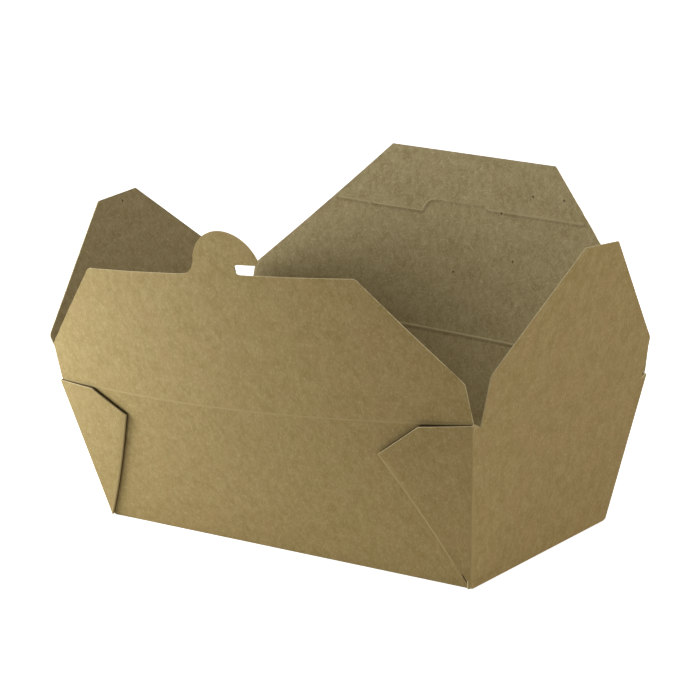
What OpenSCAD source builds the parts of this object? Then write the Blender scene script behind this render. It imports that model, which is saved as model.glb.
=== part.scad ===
// Takeaway box: one die-cut sheet of kraft board, folded into a tray
// with four lid flaps that stand open. Millimetres, base on z = 0.
// The long front wall faces -Y and the origin is the centre of the base.

/* [Board] */
// Thickness of the kraft board
board = 0.45; // [0.3:0.05:0.6]
// Slit left between the layers of a folded corner web
layer_gap = 0.15; // [0.1:0.05:0.3]
// Strip of each flap that its soft crease takes up
crease_gap = 0.6; // [0.5:0.05:0.9]

/* [Tray] */
// Length of the base
base_l = 195; // [175:1:225]
// Width of the base
base_w = 104; // [95:1:125]
// Height of the mouth corners above the table, on average
wall_h = 71; // [55:1:85]
// How far the end walls lean out at the mouth corners
end_flare = 13; // [9:0.5:17]
// How far the long walls lean out at the mouth corners
long_flare = 15; // [10:0.5:20]
// How far the long walls belly out at the middle of their crease
long_bow = 11; // [4:0.5:13]
// How far two mouth corners stand up and the other two hang down
rack = 5; // [1:0.5:6]

/* [Corner webs] */
// Length of a web's top edge along the crease
web_top = 22; // [16:0.5:28]
// Length of a web's folded edge, from the base corner to its tip
web_fold = 66; // [54:1:70]

/* [Front flap] */
// Lean of the front flap past upright, in degrees
front_lean = 12; // [6:0.5:18]
// Height of the front flap's shoulders above the crease
front_shoulder_h = 17; // [10:0.5:22]
// How far each end of the front flap's root stops short of the crease's end
front_root_in = 0.5; // [0.5:0.1:1.5]
// How far each shoulder stops short of the end of the crease
front_shoulder_in = 0.9; // [0.8:0.1:2]
// Height of the front flap from crease to top edge
front_h = 62; // [50:0.5:66]
// Length of the front flap's top edge
front_top_w = 142; // [110:1:160]
// How far that edge falls from the tab to its left end
front_fall = 3.9; // [0:0.1:6]

/* [Hook tab] */
// Place of the tab's middle along the front flap's top edge
tab_x = 10.5; // [-20:0.5:20]
// Radius of the round tab
tab_r = 17.5; // [12:0.5:20]
// Height of the tab's centre above the flap's top edge
tab_rise = 1.5; // [0:0.5:4]
// Height of the notch under the hook
notch_h = 4.5; // [3:0.25:6]
// Distance of the notch's closed end from the tab's middle
notch_x = 6; // [3:0.5:9]
// Radius of the fillet at the tab's plain side
tab_fillet = 7; // [3:0.5:8]

/* [Back flap] */
// Lean of the back flap past upright, in degrees
back_lean = 13; // [6:0.5:18]
// Height of the back flap's shoulders above the crease
back_shoulder_h = 16.5; // [10:0.5:22]
// How far each end of the back flap's root stops short of the crease's end
back_root_in = 0.5; // [0.5:0.1:1.5]
// How far each shoulder stops short of the end of the crease
back_shoulder_in = 0.9; // [0.8:0.1:2]
// Height of the back flap from crease to top edge
back_h = 83; // [72:0.5:90]
// Length of the back flap's top edge
back_top_w = 90; // [70:1:110]

/* [Lock slit] */
// Width of the cut that the hook tab goes into
slit_w = 0.4; // [0.3:0.05:0.6]
// Height of the slit's low end above the crease
slit_low_h = 54; // [46:0.5:58]
// How far the slit steps up
slit_step = 6; // [3:0.5:8]
// Place of the step, measured from the flap's middle as seen from outside
slit_step_x = 21; // [10:0.5:30]
// Length of the low run of the slit
slit_low_run = 28; // [16:1:34]
// Length of the high run of the slit
slit_high_run = 30; // [16:1:40]

/* [End flaps] */
// Lean of the right flap past upright, in degrees
right_lean = 13.5; // [6:0.5:18]
// Lean of the left flap past upright, in degrees
left_lean = 14.5; // [6:0.5:18]
// Height of an end flap's shoulders above the crease
end_shoulder_h = 21.5; // [12:0.5:24]
// How far each end of an end flap's root stops short of the crease's end
end_root_in = 4.5; // [2:0.1:6]
// How far each shoulder of an end flap stops short of the end of the crease
end_shoulder_in = 3.4; // [2.8:0.1:5]
// How much lower than the long creases the end creases lie
end_drop = 2; // [1.6:0.1:2.5]
// Height of an end flap from crease to top edge
end_h = 69; // [55:0.5:72]
// Length of an end flap's top edge
end_top_w = 26; // [16:1:40]

/* [Corners] */
// Radius of the rounded shoulders, and of the front flap's top corners
corner_r = 3; // [1:0.5:5]
// Radius of the back flap's top corners
back_top_r = 1; // [0.5:0.25:3]
// Radius of the end flaps' top corners
end_top_r = 1.5; // [0.5:0.25:3]

/* [Hidden] */
kraft = "#a8905c";
// Half length and half width of the base
base_x = base_l / 2;
base_y = base_w / 2;
// Distance between the middles of two folded layers
pitch = board + layer_gap;
// Radius of a fold, which stays a sixth of the board under both layers' skins
fold_r = pitch / 2 + board / 3;
// How far an end wall and an outer web layer run past each other's middle
lap = board / 4;
// Where the doubled layers stop short of the end wall's inner face
web_stop = board / 2 + layer_gap + fold_r;
// Parts of the wall's height where a web's point begins and its fold ends
web_start = 0.012;
web_end = 0.985;
// Part of a web's folded edge below which its two layers aren't joined
fold_start = 0.065;
// Grid of a long wall, of an end wall and of a web
LONG_STEPS = 30;
END_STEPS = 6;
WEB_STEPS = 7;
UP = [0, 0, 1];

function unit(v) = v / norm(v);
function between(a, b, t) = a + (b - a) * t;

// A side is [crease middle, along, up, outward, half crease, lean, bow,
// base middle, base along, half base, flare]
function side(p, q, out, lean, bow, base_mid, base_half, flare) =
    let (along = unit(q - p))
    [(p + q) / 2, along, cross(out, along), out, norm(q - p) / 2,
     lean, bow, base_mid, cross(UP, out), base_half, flare];

// Mouth corners, or the points on the corner folds that lie a drop below them
function mouth(x, y, drop = 0) =
    let (rise = 1 - drop / wall_h)
    [x * (base_x + end_flare * rise), y * (base_y + long_flare * rise),
     wall_h - x * y * rack - drop];

front = side(mouth(-1, -1), mouth(1, -1), [0, -1, 0], front_lean, long_bow,
    [0, -base_y, board / 2], base_x, long_flare);
back = side(mouth(1, 1), mouth(-1, 1), [0, 1, 0], back_lean, long_bow,
    [0, base_y, board / 2], base_x, long_flare);
right = side(mouth(1, -1, end_drop), mouth(1, 1, end_drop), [1, 0, 0],
    right_lean, 0, [base_x, 0, board / 2], base_y, end_flare);
left = side(mouth(-1, 1, end_drop), mouth(-1, -1, end_drop), [-1, 0, 0],
    left_lean, 0, [-base_x, 0, board / 2], base_y, end_flare);

// Radius and height of the arc that a bowed crease follows
function bow_radius(half, bow) = (half * half + bow * bow) / (2 * bow);
function belly(half, bow, u) = bow <= 0 ? 0 :
    let (r = bow_radius(half, bow)) sqrt(r * r - u * u) - (r - bow);

// Outward normal and upward direction of the flap that a side carries
function flap_normal(s) = s[3] * cos(s[5]) - s[2] * sin(s[5]);
function flap_up(s) = s[3] * sin(s[5]) + s[2] * cos(s[5]);
function crease_point(s, u) =
    s[0] + s[1] * u + flap_normal(s) * belly(s[4], s[6], u);

// Outward normal of a wall, and the point at x along it, a part f of the
// way up, w out from the middle of the board
function wall_normal(s) =
    let (slope = atan(s[10] / wall_h)) s[3] * cos(slope) - UP * sin(slope);
function half_width(s, f) = between(s[9], s[4], f);
function wall_point(s, x, f, w) =
    let (t = x / half_width(s, f))
    between(s[7] + s[8] * t * s[9], crease_point(s, t * s[4]), f)
    + wall_normal(s) * w;

// Faces of a slab whose points come as rows of nx + 1 on its two skins
function slab_faces(nx, ny) =
    let (row = nx + 1, skin = row * (ny + 1))
    concat(
        [for (j = [0:ny - 1], i = [0:nx - 1]) each
            let (a = j * row + i)
            [[a, a + 1, a + row + 1], [a, a + row + 1, a + row],
             [skin + a, skin + a + row + 1, skin + a + 1],
             [skin + a, skin + a + row, skin + a + row + 1]]],
        [for (i = [0:nx - 1]) each
            let (b = ny * row + i)
            [[i, skin + i, skin + i + 1, i + 1],
             [b, b + 1, skin + b + 1, skin + b]]],
        [for (j = [0:ny - 1]) each
            let (l = j * row, r = j * row + nx)
            [[l, l + row, skin + l + row, skin + l],
             [r, skin + r, skin + r + row, r + row]]]);

// Board between w0 and w1 out from a wall, over the quad whose corners are
// [x, f] pairs: low start, low end, high end and high start
module slab(s, quad, w0, w1, nx, ny) {
    points = [for (w = [w0, w1], j = [0:ny], i = [0:nx])
        let (p = between(between(quad[0], quad[1], i / nx),
                         between(quad[3], quad[2], i / nx), j / ny))
        wall_point(s, p[0], p[1], w)];
    polyhedron(points, slab_faces(nx, ny), convexity = 6);
}

// Rounded fold between two layers, along a chain of [x, f] pairs
module fold(s, path, w) {
    for (i = [0:len(path) - 2])
        hull() {
            translate(wall_point(s, path[i][0], path[i][1], w))
                sphere(fold_r, $fn = 8);
            translate(wall_point(s, path[i + 1][0], path[i + 1][1], w))
                sphere(fold_r, $fn = 8);
        }
}

// Corner of a web, measured on the flat wall from the base corner
function wall_slant(s) = norm([wall_h, s[10]]);
function edge_angle(s) = atan((s[4] - s[9]) / wall_slant(s));
// Half of the angle that the blank leaves between two walls
web_angle = (90 - edge_angle(front) - edge_angle(right)) / 2;
function web_tip(s, sign) =
    let (turn = edge_angle(s) - web_angle)
    [sign * (s[9] + web_fold * sin(turn)), web_fold * cos(turn) / wall_slant(s)];
// Place across a side that stops short of its edge by the same share all the
// way up, which keeps that edge straight
function short_of(s, stop, f) = half_width(s, f) * (1 - stop / s[9]);
function web_quad(s, sign, stop) = [
    [sign * short_of(s, stop, web_start), web_start],
    web_tip(s, sign),
    [sign * (s[4] - web_top), 1],
    [sign * short_of(s, stop, 1), 1]];

// Long wall with the two webs that are folded flat on its outside
module long_wall(s) {
    low = short_of(s, web_stop, 0);
    high = short_of(s, web_stop, 1);
    slab(s, [[-low, 0], [low, 0], [high, 1], [-high, 1]],
        -board / 2, board / 2, LONG_STEPS, 6);
    for (sign = [-1, 1]) {
        inner = web_quad(s, sign, web_stop);
        outer = web_quad(s, sign, -lap);
        layer(s, inner, pitch, sign);
        layer(s, outer, 2 * pitch, sign);
        fold(s, [inner[0], [sign * short_of(s, web_stop, web_end), web_end]],
            pitch / 2);
        fold(s, [for (i = [0:WEB_STEPS]) between(inner[0], inner[1],
                between(fold_start, 1, i / WEB_STEPS))], 1.5 * pitch);
    }
}

// One layer of a web, with its corners in the same turning sense on both ends
module layer(s, quad, w, sign) {
    ordered = sign < 0 ? quad : [quad[1], quad[0], quad[3], quad[2]];
    slab(s, ordered, w - board / 2, w + board / 2, WEB_STEPS, WEB_STEPS);
}

// End wall, wide enough to meet the outer layer of the webs at both corners
module end_wall(s) {
    reach = 2 * pitch + lap;
    slab(s, [[-s[9] - reach, 0], [s[9] + reach, 0],
             [s[4] + reach, 1], [-s[4] - reach, 1]],
        -board / 2, board / 2, END_STEPS, END_STEPS);
}

module tray() {
    color(kraft) {
        translate([0, 0, board / 2])
            cube([base_l + 2 * lap, base_w + 2 * lap, board], center = true);
        long_wall(front);
        long_wall(back);
        end_wall(right);
        end_wall(left);
    }
}

// Outline with each corner rounded to its own radius
function rounded(pts, radii) =
    [for (i = [0:len(pts) - 1]) each
        let (n = len(pts), p = pts[i],
             a = unit(pts[(i + n - 1) % n] - p), b = unit(pts[(i + 1) % n] - p),
             half = acos(a * b) / 2, r = radii[i], run = r / tan(half),
             c = p + unit(a + b) * r / sin(half))
        r <= 0 ? [p] :
        [for (k = [0:6])
            let (q = between(p + a * run, p + b * run, k / 6))
            c + unit(q - c) * r]];

// Flap outline from its crease: half root, shoulders and top edge, which may
// fall from a place along it to its left end
module flap_outline(half, shoulder, shoulder_h, top_w, height, top_r,
                    fall = 0, fall_x = 0) {
    bent = fall > 0;
    polygon(rounded(
        concat([[-half, crease_gap], [half, crease_gap], [shoulder, shoulder_h],
                [top_w / 2, height]],
            bent ? [[fall_x, height]] : [],
            [[-top_w / 2, height - fall], [-shoulder, shoulder_h]]),
        concat([0, 0, corner_r, top_r], bent ? [0] : [], [top_r, corner_r])));
}

// Puts a flap drawn in X and Z on its crease, with -Y outward
module on_crease(s) {
    n = flap_normal(s);
    e = s[1];
    z = flap_up(s);
    m = s[0];
    multmatrix([[e[0], -n[0], z[0], m[0]],
                [e[1], -n[1], z[1], m[1]],
                [e[2], -n[2], z[2], m[2]]])
        children();
}

// Bends a flat outline to the arc of its bowed crease
module bowed_sheet(s, height) {
    r = bow_radius(s[4], s[6]);
    intersection() {
        translate([0, 1, 0])
            rotate([90, 0, 0])
                linear_extrude(s[6] + 5) children();
        translate([0, r - s[6], 0])
            difference() {
                cylinder(r = r + board / 2, h = height, $fn = 400);
                translate([0, 0, -1])
                    cylinder(r = r - board / 2, h = height + 2, $fn = 400);
            }
    }
}

// Round tab with a fillet on its plain side and a notch under its hook
module hook_tab() {
    centre_h = front_h + tab_rise;
    fillet_x = tab_x - tab_r - tab_fillet;
    fillet_h = front_h - front_fall * (tab_x - fillet_x) / (tab_x + front_top_w / 2);
    difference() {
        union() {
            translate([tab_x, centre_h]) circle(tab_r, $fn = 96);
            translate([fillet_x, fillet_h - 1])
                square([tab_fillet + 3, tab_fillet + 1]);
        }
        translate([fillet_x, fillet_h + tab_fillet])
            circle(tab_fillet, $fn = 48);
        translate([tab_x - tab_r, front_h - tab_r])
            square([2 * tab_r, tab_r - 1]);
        translate([tab_x + notch_x, front_h])
            square([tab_r, notch_h]);
        translate([tab_x + notch_x, front_h + notch_h / 2])
            circle(notch_h / 2, $fn = 32);
    }
}

module front_flap() {
    color(kraft)
        on_crease(front)
            bowed_sheet(front, front_h + 2 * tab_r + tab_rise) {
                union() {
                    flap_outline(front[4] - front_root_in, front[4] - front_shoulder_in,
                        front_shoulder_h, front_top_w, front_h, corner_r,
                        front_fall, tab_x);
                    hook_tab();
                }
            }
}

// Middle line of the stepped slit, and the thin cut along it
slit_line = concat(
    [[slit_step_x + slit_low_run, slit_low_h], [slit_step_x + 1, slit_low_h]],
    [for (k = [0:4])
        [slit_step_x + 1 - k,
         slit_low_h + slit_step * (1 - cos(45 * k)) / 2]],
    [[slit_step_x - slit_high_run, slit_low_h + slit_step]]);
module slit() {
    for (i = [0:len(slit_line) - 2])
        hull() {
            translate(slit_line[i]) circle(slit_w / 2, $fn = 12);
            translate(slit_line[i + 1]) circle(slit_w / 2, $fn = 12);
        }
}

module back_flap() {
    color(kraft)
        on_crease(back)
            bowed_sheet(back, back_h + 1)
                difference() {
                    flap_outline(back[4] - back_root_in, back[4] - back_shoulder_in,
                        back_shoulder_h, back_top_w, back_h, back_top_r);
                    slit();
                }
}

module end_flap(s) {
    color(kraft)
        on_crease(s)
            rotate([90, 0, 0])
                linear_extrude(board, center = true)
                    flap_outline(s[4] - end_root_in, s[4] - end_shoulder_in,
                        end_shoulder_h, end_top_w, end_h, end_top_r);
}
module left_flap() { end_flap(left); }
module right_flap() { end_flap(right); }

tray();
front_flap();
back_flap();
left_flap();
right_flap();
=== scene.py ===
# %% [markdown]
# # A takeaway box of folded kraft board
#
# The real box is one die-cut sheet of brown board, 0.45 mm thick, folded into
# a tray whose corners are doubled webs, with four lid flaps that stand open.
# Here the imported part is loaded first, and every piece is built around it.
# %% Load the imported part
import math

import bmesh
import bpy
import numpy as np
from mathutils import Matrix, Vector
from mathutils.geometry import delaunay_2d_cdt


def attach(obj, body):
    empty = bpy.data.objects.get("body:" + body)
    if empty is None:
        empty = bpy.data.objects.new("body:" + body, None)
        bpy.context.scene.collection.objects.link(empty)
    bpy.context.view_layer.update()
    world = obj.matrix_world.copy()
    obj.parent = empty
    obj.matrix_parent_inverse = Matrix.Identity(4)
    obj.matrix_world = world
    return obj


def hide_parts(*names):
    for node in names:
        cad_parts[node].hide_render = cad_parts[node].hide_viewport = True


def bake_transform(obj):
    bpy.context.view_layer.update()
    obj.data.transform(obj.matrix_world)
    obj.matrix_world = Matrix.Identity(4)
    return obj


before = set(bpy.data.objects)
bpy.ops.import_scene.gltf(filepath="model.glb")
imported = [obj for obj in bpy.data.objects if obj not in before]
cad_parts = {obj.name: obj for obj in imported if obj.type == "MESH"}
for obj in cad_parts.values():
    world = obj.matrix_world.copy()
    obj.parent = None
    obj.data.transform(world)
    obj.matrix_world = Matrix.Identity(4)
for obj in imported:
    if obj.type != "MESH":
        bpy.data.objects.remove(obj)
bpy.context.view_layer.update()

# %% [markdown]
# ## The camera
#
# The photograph looks down a little on the box from its front right. The
# camera's place was worked out from the box's corners, so it is written as the
# angles that it is turned by, in radians, the point it looks at and the
# distance to it. A long lens from about a metre keeps the perspective weak.
# %% Camera
IMAGE_PX = 700
SENSOR_MM = 36.0
FOCAL_PX = 2471.9
CENTRE_PX = (372.52, 363.30)
TURN, TILT, ROLL = 0.6359, 0.2524, -0.0318
AIM = Vector((0.012126, 0.0, 0.072738))
DISTANCE = 1.0808

ahead = Vector((-math.sin(TURN) * math.cos(TILT),
                math.cos(TURN) * math.cos(TILT), -math.sin(TILT)))
level = Vector((math.cos(TURN), math.sin(TURN), 0))
above = level.cross(ahead)
across = level * math.cos(ROLL) + above * math.sin(ROLL)
upright = above * math.cos(ROLL) - level * math.sin(ROLL)
camera_data = bpy.data.cameras.new("camera")
camera = bpy.data.objects.new("camera", camera_data)
bpy.context.scene.collection.objects.link(camera)
turned = Matrix((across, upright, -ahead)).transposed().to_4x4()
camera.matrix_world = Matrix.Translation(AIM - ahead * DISTANCE) @ turned
camera_data.sensor_width = SENSOR_MM
camera_data.lens = FOCAL_PX / IMAGE_PX * SENSOR_MM
camera_data.shift_x = (IMAGE_PX / 2 - CENTRE_PX[0]) / IMAGE_PX
camera_data.shift_y = (CENTRE_PX[1] - IMAGE_PX / 2) / IMAGE_PX
bpy.context.scene.camera = camera
print("lens in mm:", round(camera_data.lens, 1))

# %% [markdown]
# ## The sides of the box
#
# Each wall rises from a base fold to a crease, and a lid flap goes on from the
# crease. One class holds what a side needs to place a point: across and up
# the wall, or across and up its flap. All of it is in millimetres, with the
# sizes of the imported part, and the long creases belly out along an arc.
# %% Sizes of the sheet in millimetres
# A layer is one board and the gap to the next one
BOARD, LAYER = 0.45, 0.6
BASE_X, BASE_Y = 97.5, 52.0
END_FLARE, LONG_FLARE = 13.0, 15.0
WALL_H, BOW, RACK, END_DROP = 71.0, 11.0, 5.0, 2.0
UP = np.array([0.0, 0.0, 1.0])


def unit(v):
    return v / np.linalg.norm(v)


def mouth(x, y, drop=0.0):
    """Mouth corner on the sides x and y, or a point a drop down its fold."""
    rise = 1 - drop / WALL_H
    return np.array([x * (BASE_X + END_FLARE * rise),
                     y * (BASE_Y + LONG_FLARE * rise),
                     WALL_H - x * y * RACK - drop])


corners = [mouth(x, y).round(1).tolist() for x in (-1, 1) for y in (-1, 1)]
print("mouth corners in mm:", corners)


# %% A side of the box
class Side:
    """One wall of the tray and the crease that carries its lid flap."""

    def __init__(self, p, q, out, lean, bow, base_mid, base_half, flare):
        """The crease runs from p to q; lean is the flap's, flare the wall's."""
        self.out = np.array(out, float)
        self.mid, self.along = (p + q) / 2, unit(q - p)
        self.half, self.bow = np.linalg.norm(q - p) / 2, bow
        self.base_mid = np.array(base_mid, float)
        self.base_half, self.base_along = base_half, np.cross(UP, self.out)
        up, lean = np.cross(self.out, self.along), math.radians(lean)
        self.normal = self.out * math.cos(lean) - up * math.sin(lean)
        self.rise = self.out * math.sin(lean) + up * math.cos(lean)
        slope = math.atan(flare / WALL_H)
        self.wall_normal = self.out * math.cos(slope) - UP * math.sin(slope)
        self.slant = math.hypot(WALL_H, flare)

    def belly(self, u):
        """How far the crease's arc stands out from its chord at u."""
        if self.bow <= 0:
            return u * 0.0
        r = (self.half ** 2 + self.bow ** 2) / (2 * self.bow)
        return np.sqrt(r * r - u * u) - (r - self.bow)

    def crease(self, u):
        """The point u along the crease."""
        return (self.mid + np.multiply.outer(u, self.along)
                + np.multiply.outer(self.belly(u), self.normal))

    def half_at(self, f):
        """Half the wall's width at a part f of its height."""
        return self.base_half + (self.half - self.base_half) * f

    def wall(self, x, f, w=0.0):
        """Point x across the wall, a part f of the way up, w out from it."""
        x, f, w = np.broadcast_arrays(*(np.asarray(a, float) for a in (x, f, w)))
        t = x / self.half_at(f)
        low = self.base_mid + np.multiply.outer(t * self.base_half,
                                                self.base_along)
        high = self.crease(t * self.half)
        return (low + (high - low) * f[..., None]
                + np.multiply.outer(w, self.wall_normal))

    def flap(self, u, v):
        """Point u across the flap and v up from the crease."""
        u, v = np.broadcast_arrays(np.asarray(u, float), np.asarray(v, float))
        return self.crease(u) + np.multiply.outer(v, self.rise)


# %% The four sides
FLOOR_MID = BOARD / 2
FRONT_LEAN, BACK_LEAN, RIGHT_LEAN, LEFT_LEAN = 12.0, 13.0, 13.5, 14.5
FRONT = Side(mouth(-1, -1), mouth(1, -1), (0, -1, 0), FRONT_LEAN, BOW,
             (0, -BASE_Y, FLOOR_MID), BASE_X, LONG_FLARE)
BACK = Side(mouth(1, 1), mouth(-1, 1), (0, 1, 0), BACK_LEAN, BOW,
            (0, BASE_Y, FLOOR_MID), BASE_X, LONG_FLARE)
RIGHT = Side(mouth(1, -1, END_DROP), mouth(1, 1, END_DROP), (1, 0, 0),
             RIGHT_LEAN, 0.0, (BASE_X, 0, FLOOR_MID), BASE_Y, END_FLARE)
LEFT = Side(mouth(-1, 1, END_DROP), mouth(-1, -1, END_DROP), (-1, 0, 0),
            LEFT_LEAN, 0.0, (-BASE_X, 0, FLOOR_MID), BASE_Y, END_FLARE)
print("crease lengths in mm:", [round(2 * s.half, 1) for s in (FRONT, RIGHT)])

# %% [markdown]
# ## A sheet from grids
#
# Folded board is a thin skin whose middle surface is easy to describe. So the pieces
# are made as middle surfaces, gathered from grids and triangles, with three values kept
# on each point for the finish: its place on the flat sheet, its distance to the nearest
# fold, and the painted shade on each of its two skins, where it lies in a gap or under
# a crease or ridge that little light reaches. Welding joins the grids, the Solidify
# modifier gives the board its thickness with its own finish on each skin and on the cut
# edge, and Edge Split keeps the cut edge crisp.
# %% Sheet builder
MM = 0.001
WELD, SLIVER = 2e-6, 1e-7
CRISP_ANGLE = math.radians(50)
# Folds further off than this leave no mark
FAR = 6.0
# Each panel's places lie this far from the next one's, so no grain repeats
PANEL_STEP = 40.0


class Sheet:
    """Gathers the middle surface of a piece of board, in millimetres."""

    def __init__(self):
        self.points, self.places, self.scores, self.faces = [], [], [], []
        self.shades, self.count = [], 0

    def add(self, points, places, scores, faces, shades):
        """Shades are the painted shade on the outside and on the inside skin."""
        count = points.size // 3
        pair = [np.broadcast_to(np.asarray(shade, float).reshape(-1), count)
                for shade in shades]
        self.shades.append(np.stack(pair + [np.zeros(count)], axis=1))
        self.points.append(points.reshape(-1, 3))
        self.places.append(places.reshape(-1, 3))
        self.scores.append(np.minimum(scores.reshape(-1), FAR))
        self.faces += [[i + self.count for i in face] for face in faces]
        self.count += len(self.points[-1])

    def grid(self, points, place_u, place_v, panel, scores, keep=None,
             outside=0.0, inside=0.0):
        """Rows and columns of points; keep says which cells are there."""
        rows, cols = shape = points.shape[:2]
        u, v, scores, outside, inside = (
            np.broadcast_to(value, shape)
            for value in (place_u, place_v, scores, outside, inside))
        places = np.stack([u, v, np.full(shape, PANEL_STEP * panel)], axis=-1)
        starts = [r * cols + c for r in range(rows - 1) for c in range(cols - 1)
                  if keep is None or keep[r][c]]
        faces = [[i, i + 1, i + cols + 1, i + cols] for i in starts]
        self.add(points, places, scores, faces, (outside, inside))

    def build(self, name, finishes):
        """Welds what was gathered into one object that has the finishes."""
        points = np.vstack(self.points) * MM
        mesh = bpy.data.meshes.new(name)
        mesh.from_pydata(points.tolist(), [], self.faces)
        for label, kind, data in (("sheet", "FLOAT_VECTOR", np.vstack(self.places)),
                                  ("shade", "FLOAT_VECTOR", np.vstack(self.shades)),
                                  ("score", "FLOAT", np.concatenate(self.scores))):
            layer = mesh.attributes.new(label, kind, "POINT")
            field = "vector" if kind == "FLOAT_VECTOR" else "value"
            layer.data.foreach_set(field, data.astype(np.float32).ravel())
        work = bmesh.new()
        work.from_mesh(mesh)
        bmesh.ops.remove_doubles(work, verts=work.verts, dist=WELD)
        bmesh.ops.dissolve_degenerate(work, dist=SLIVER, edges=work.edges)
        work.to_mesh(mesh)
        work.free()
        mesh.shade_smooth()
        for finish in finishes:
            mesh.materials.append(finish)
        piece = bpy.data.objects.new(name, mesh)
        bpy.context.scene.collection.objects.link(piece)
        return piece


# %% Board thickness
def thicken(piece):
    """Gives a sheet the board's thickness, half to each side."""
    solid = piece.modifiers.new("board", "SOLIDIFY")
    solid.thickness, solid.offset = BOARD * MM, 0.0
    solid.material_offset, solid.material_offset_rim = 1, 2
    crisp = piece.modifiers.new("crisp edges", "EDGE_SPLIT")
    crisp.split_angle = CRISP_ANGLE
    count = len(piece.data.polygons)
    print(piece.name, "has", count, "faces in its middle surface")


print("board in mm:", BOARD)

# %% [markdown]
# ## Shader maths
#
# A material is a chain of nodes. This small class wraps one socket, so that an
# expression such as `1 - mask * 0.4` adds the Math nodes by itself, and the
# paint class has one method that makes any other node.
# %% Sockets in expressions
class Wire:
    """A socket of a material that can be used in expressions."""

    def __init__(self, paint, socket):
        self.paint, self.socket = paint, socket

    def work(self, operation, a, b):
        vector = any(isinstance(x, Wire) and x.socket.type == "VECTOR"
                     for x in (a, b))
        kind = "ShaderNodeVectorMath" if vector else "ShaderNodeMath"
        return self.paint.node(kind, {"operation": operation}, {0: a, 1: b})

    def __add__(self, other):
        return self.work("ADD", self, other)

    def __sub__(self, other):
        return self.work("SUBTRACT", self, other)

    def __rsub__(self, other):
        return self.work("SUBTRACT", other, self)

    def __mul__(self, other):
        return self.work("MULTIPLY", self, other)

    __radd__, __rmul__ = __add__, __mul__


# %% Colours and nodes
def tint(code):
    """Linear colour of a web colour code, by the sRGB rule."""
    parts = [int(code[i:i + 2], 16) / 255 for i in (1, 3, 5)]
    return [p / 12.92 if p <= 0.04045 else ((p + 0.055) / 1.055) ** 2.4
            for p in parts] + [1.0]


class Paint:
    """A new material, and the one method that adds nodes to it."""

    def __init__(self, name):
        self.material = bpy.data.materials.new(name)
        self.material.use_nodes = True
        self.tree = self.material.node_tree
        self.shader = self.tree.nodes["Principled BSDF"]

    def node(self, kind, settings, inputs, output=0):
        """Adds any node: its settings first, then its sockets' values."""
        made = self.tree.nodes.new(kind)
        for key, value in settings.items():
            setattr(made, key, value)
        self.connect(made, inputs)
        return Wire(self, made.outputs[output])

    def connect(self, made, inputs):
        """Links or sets each socket that is named."""
        for key, value in inputs.items():
            socket = made.inputs[key]
            if isinstance(value, Wire):
                self.tree.links.new(value.socket, socket)
            elif isinstance(value, (int, float)) and socket.type == "VECTOR":
                socket.default_value = (value, value, value)
            else:
                socket.default_value = value

    def noise(self, place, stretch, scale, detail=3.0, rough=0.55):
        """Soft random cloud from 0 to 1, stretched along each axis."""
        return self.node("ShaderNodeTexNoise", {"noise_dimensions": "3D"},
                         {"Vector": place * stretch, "Scale": scale,
                          "Detail": detail, "Roughness": rough})

    def span(self, value, low, high):
        """0 below low, 1 above high and smooth between them."""
        return self.node("ShaderNodeMapRange",
                         {"interpolation_type": "SMOOTHSTEP"},
                         {"Value": value, "From Min": low, "From Max": high})

    def mix(self, factor, a, b):
        """Colour a where the factor is 0, and b where it is 1."""
        return self.node("ShaderNodeMix", {"data_type": "RGBA"},
                         {0: factor, 6: a, 7: b}, output=2)


print("a warm grey in linear numbers:", [round(c, 3) for c in tint("#a8905c")])

# %% [markdown]
# ## Kraft finishes
#
# Both skins of the board are unbleached pulp. The outside is pressed smooth
# and more yellow. The inside is greyer, and long fibres lie in it, light and
# dark, in all directions. Noise stretched along one direction and cut high
# leaves short streaks, and a few turned copies of it make the tangle. A few
# dark knots of fibre show on the inside of the back flap and the left one.
# %% Fibres and knots
FIBRE_STRETCH, FIBRE_FADE = (0.16, 1.0, 1.0), 0.09
# Angle and scale of each copy, and how high its noise is cut
PALE_RUNS, PALE_CUT = ((0.3, 1.7), (1.0, 2.1), (2.3, 1.5)), 0.6
DARK_RUNS, DARK_CUT = ((0.7, 1.8), (2.0, 1.6)), 0.62
KNOT_HEART, KNOT_RIM = 0.25, 0.85
KNOT_INK, KNOT_SHARE = tint("#40331a"), 0.85


def fibres(paint, place, angle, scale, cut):
    """Short streaks that run at an angle over the sheet."""
    turned = paint.node("ShaderNodeVectorRotate", {"rotation_type": "Z_AXIS"},
                        {"Vector": place, "Angle": angle})
    streak = paint.noise(turned, FIBRE_STRETCH, scale, detail=1.5)
    return paint.span(streak, cut, cut + FIBRE_FADE)


def knots(paint, place, spots):
    """Dark fibre knots at the given places of the sheet."""
    gaps = [paint.node("ShaderNodeVectorMath", {"operation": "DISTANCE"},
                       {0: place, 1: spot}, "Value") for spot in spots]
    return sum(1 - paint.span(gap, KNOT_HEART, KNOT_RIM) for gap in gaps)


print("streaks:", len(PALE_RUNS), "pale runs and", len(DARK_RUNS), "dark runs")
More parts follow.
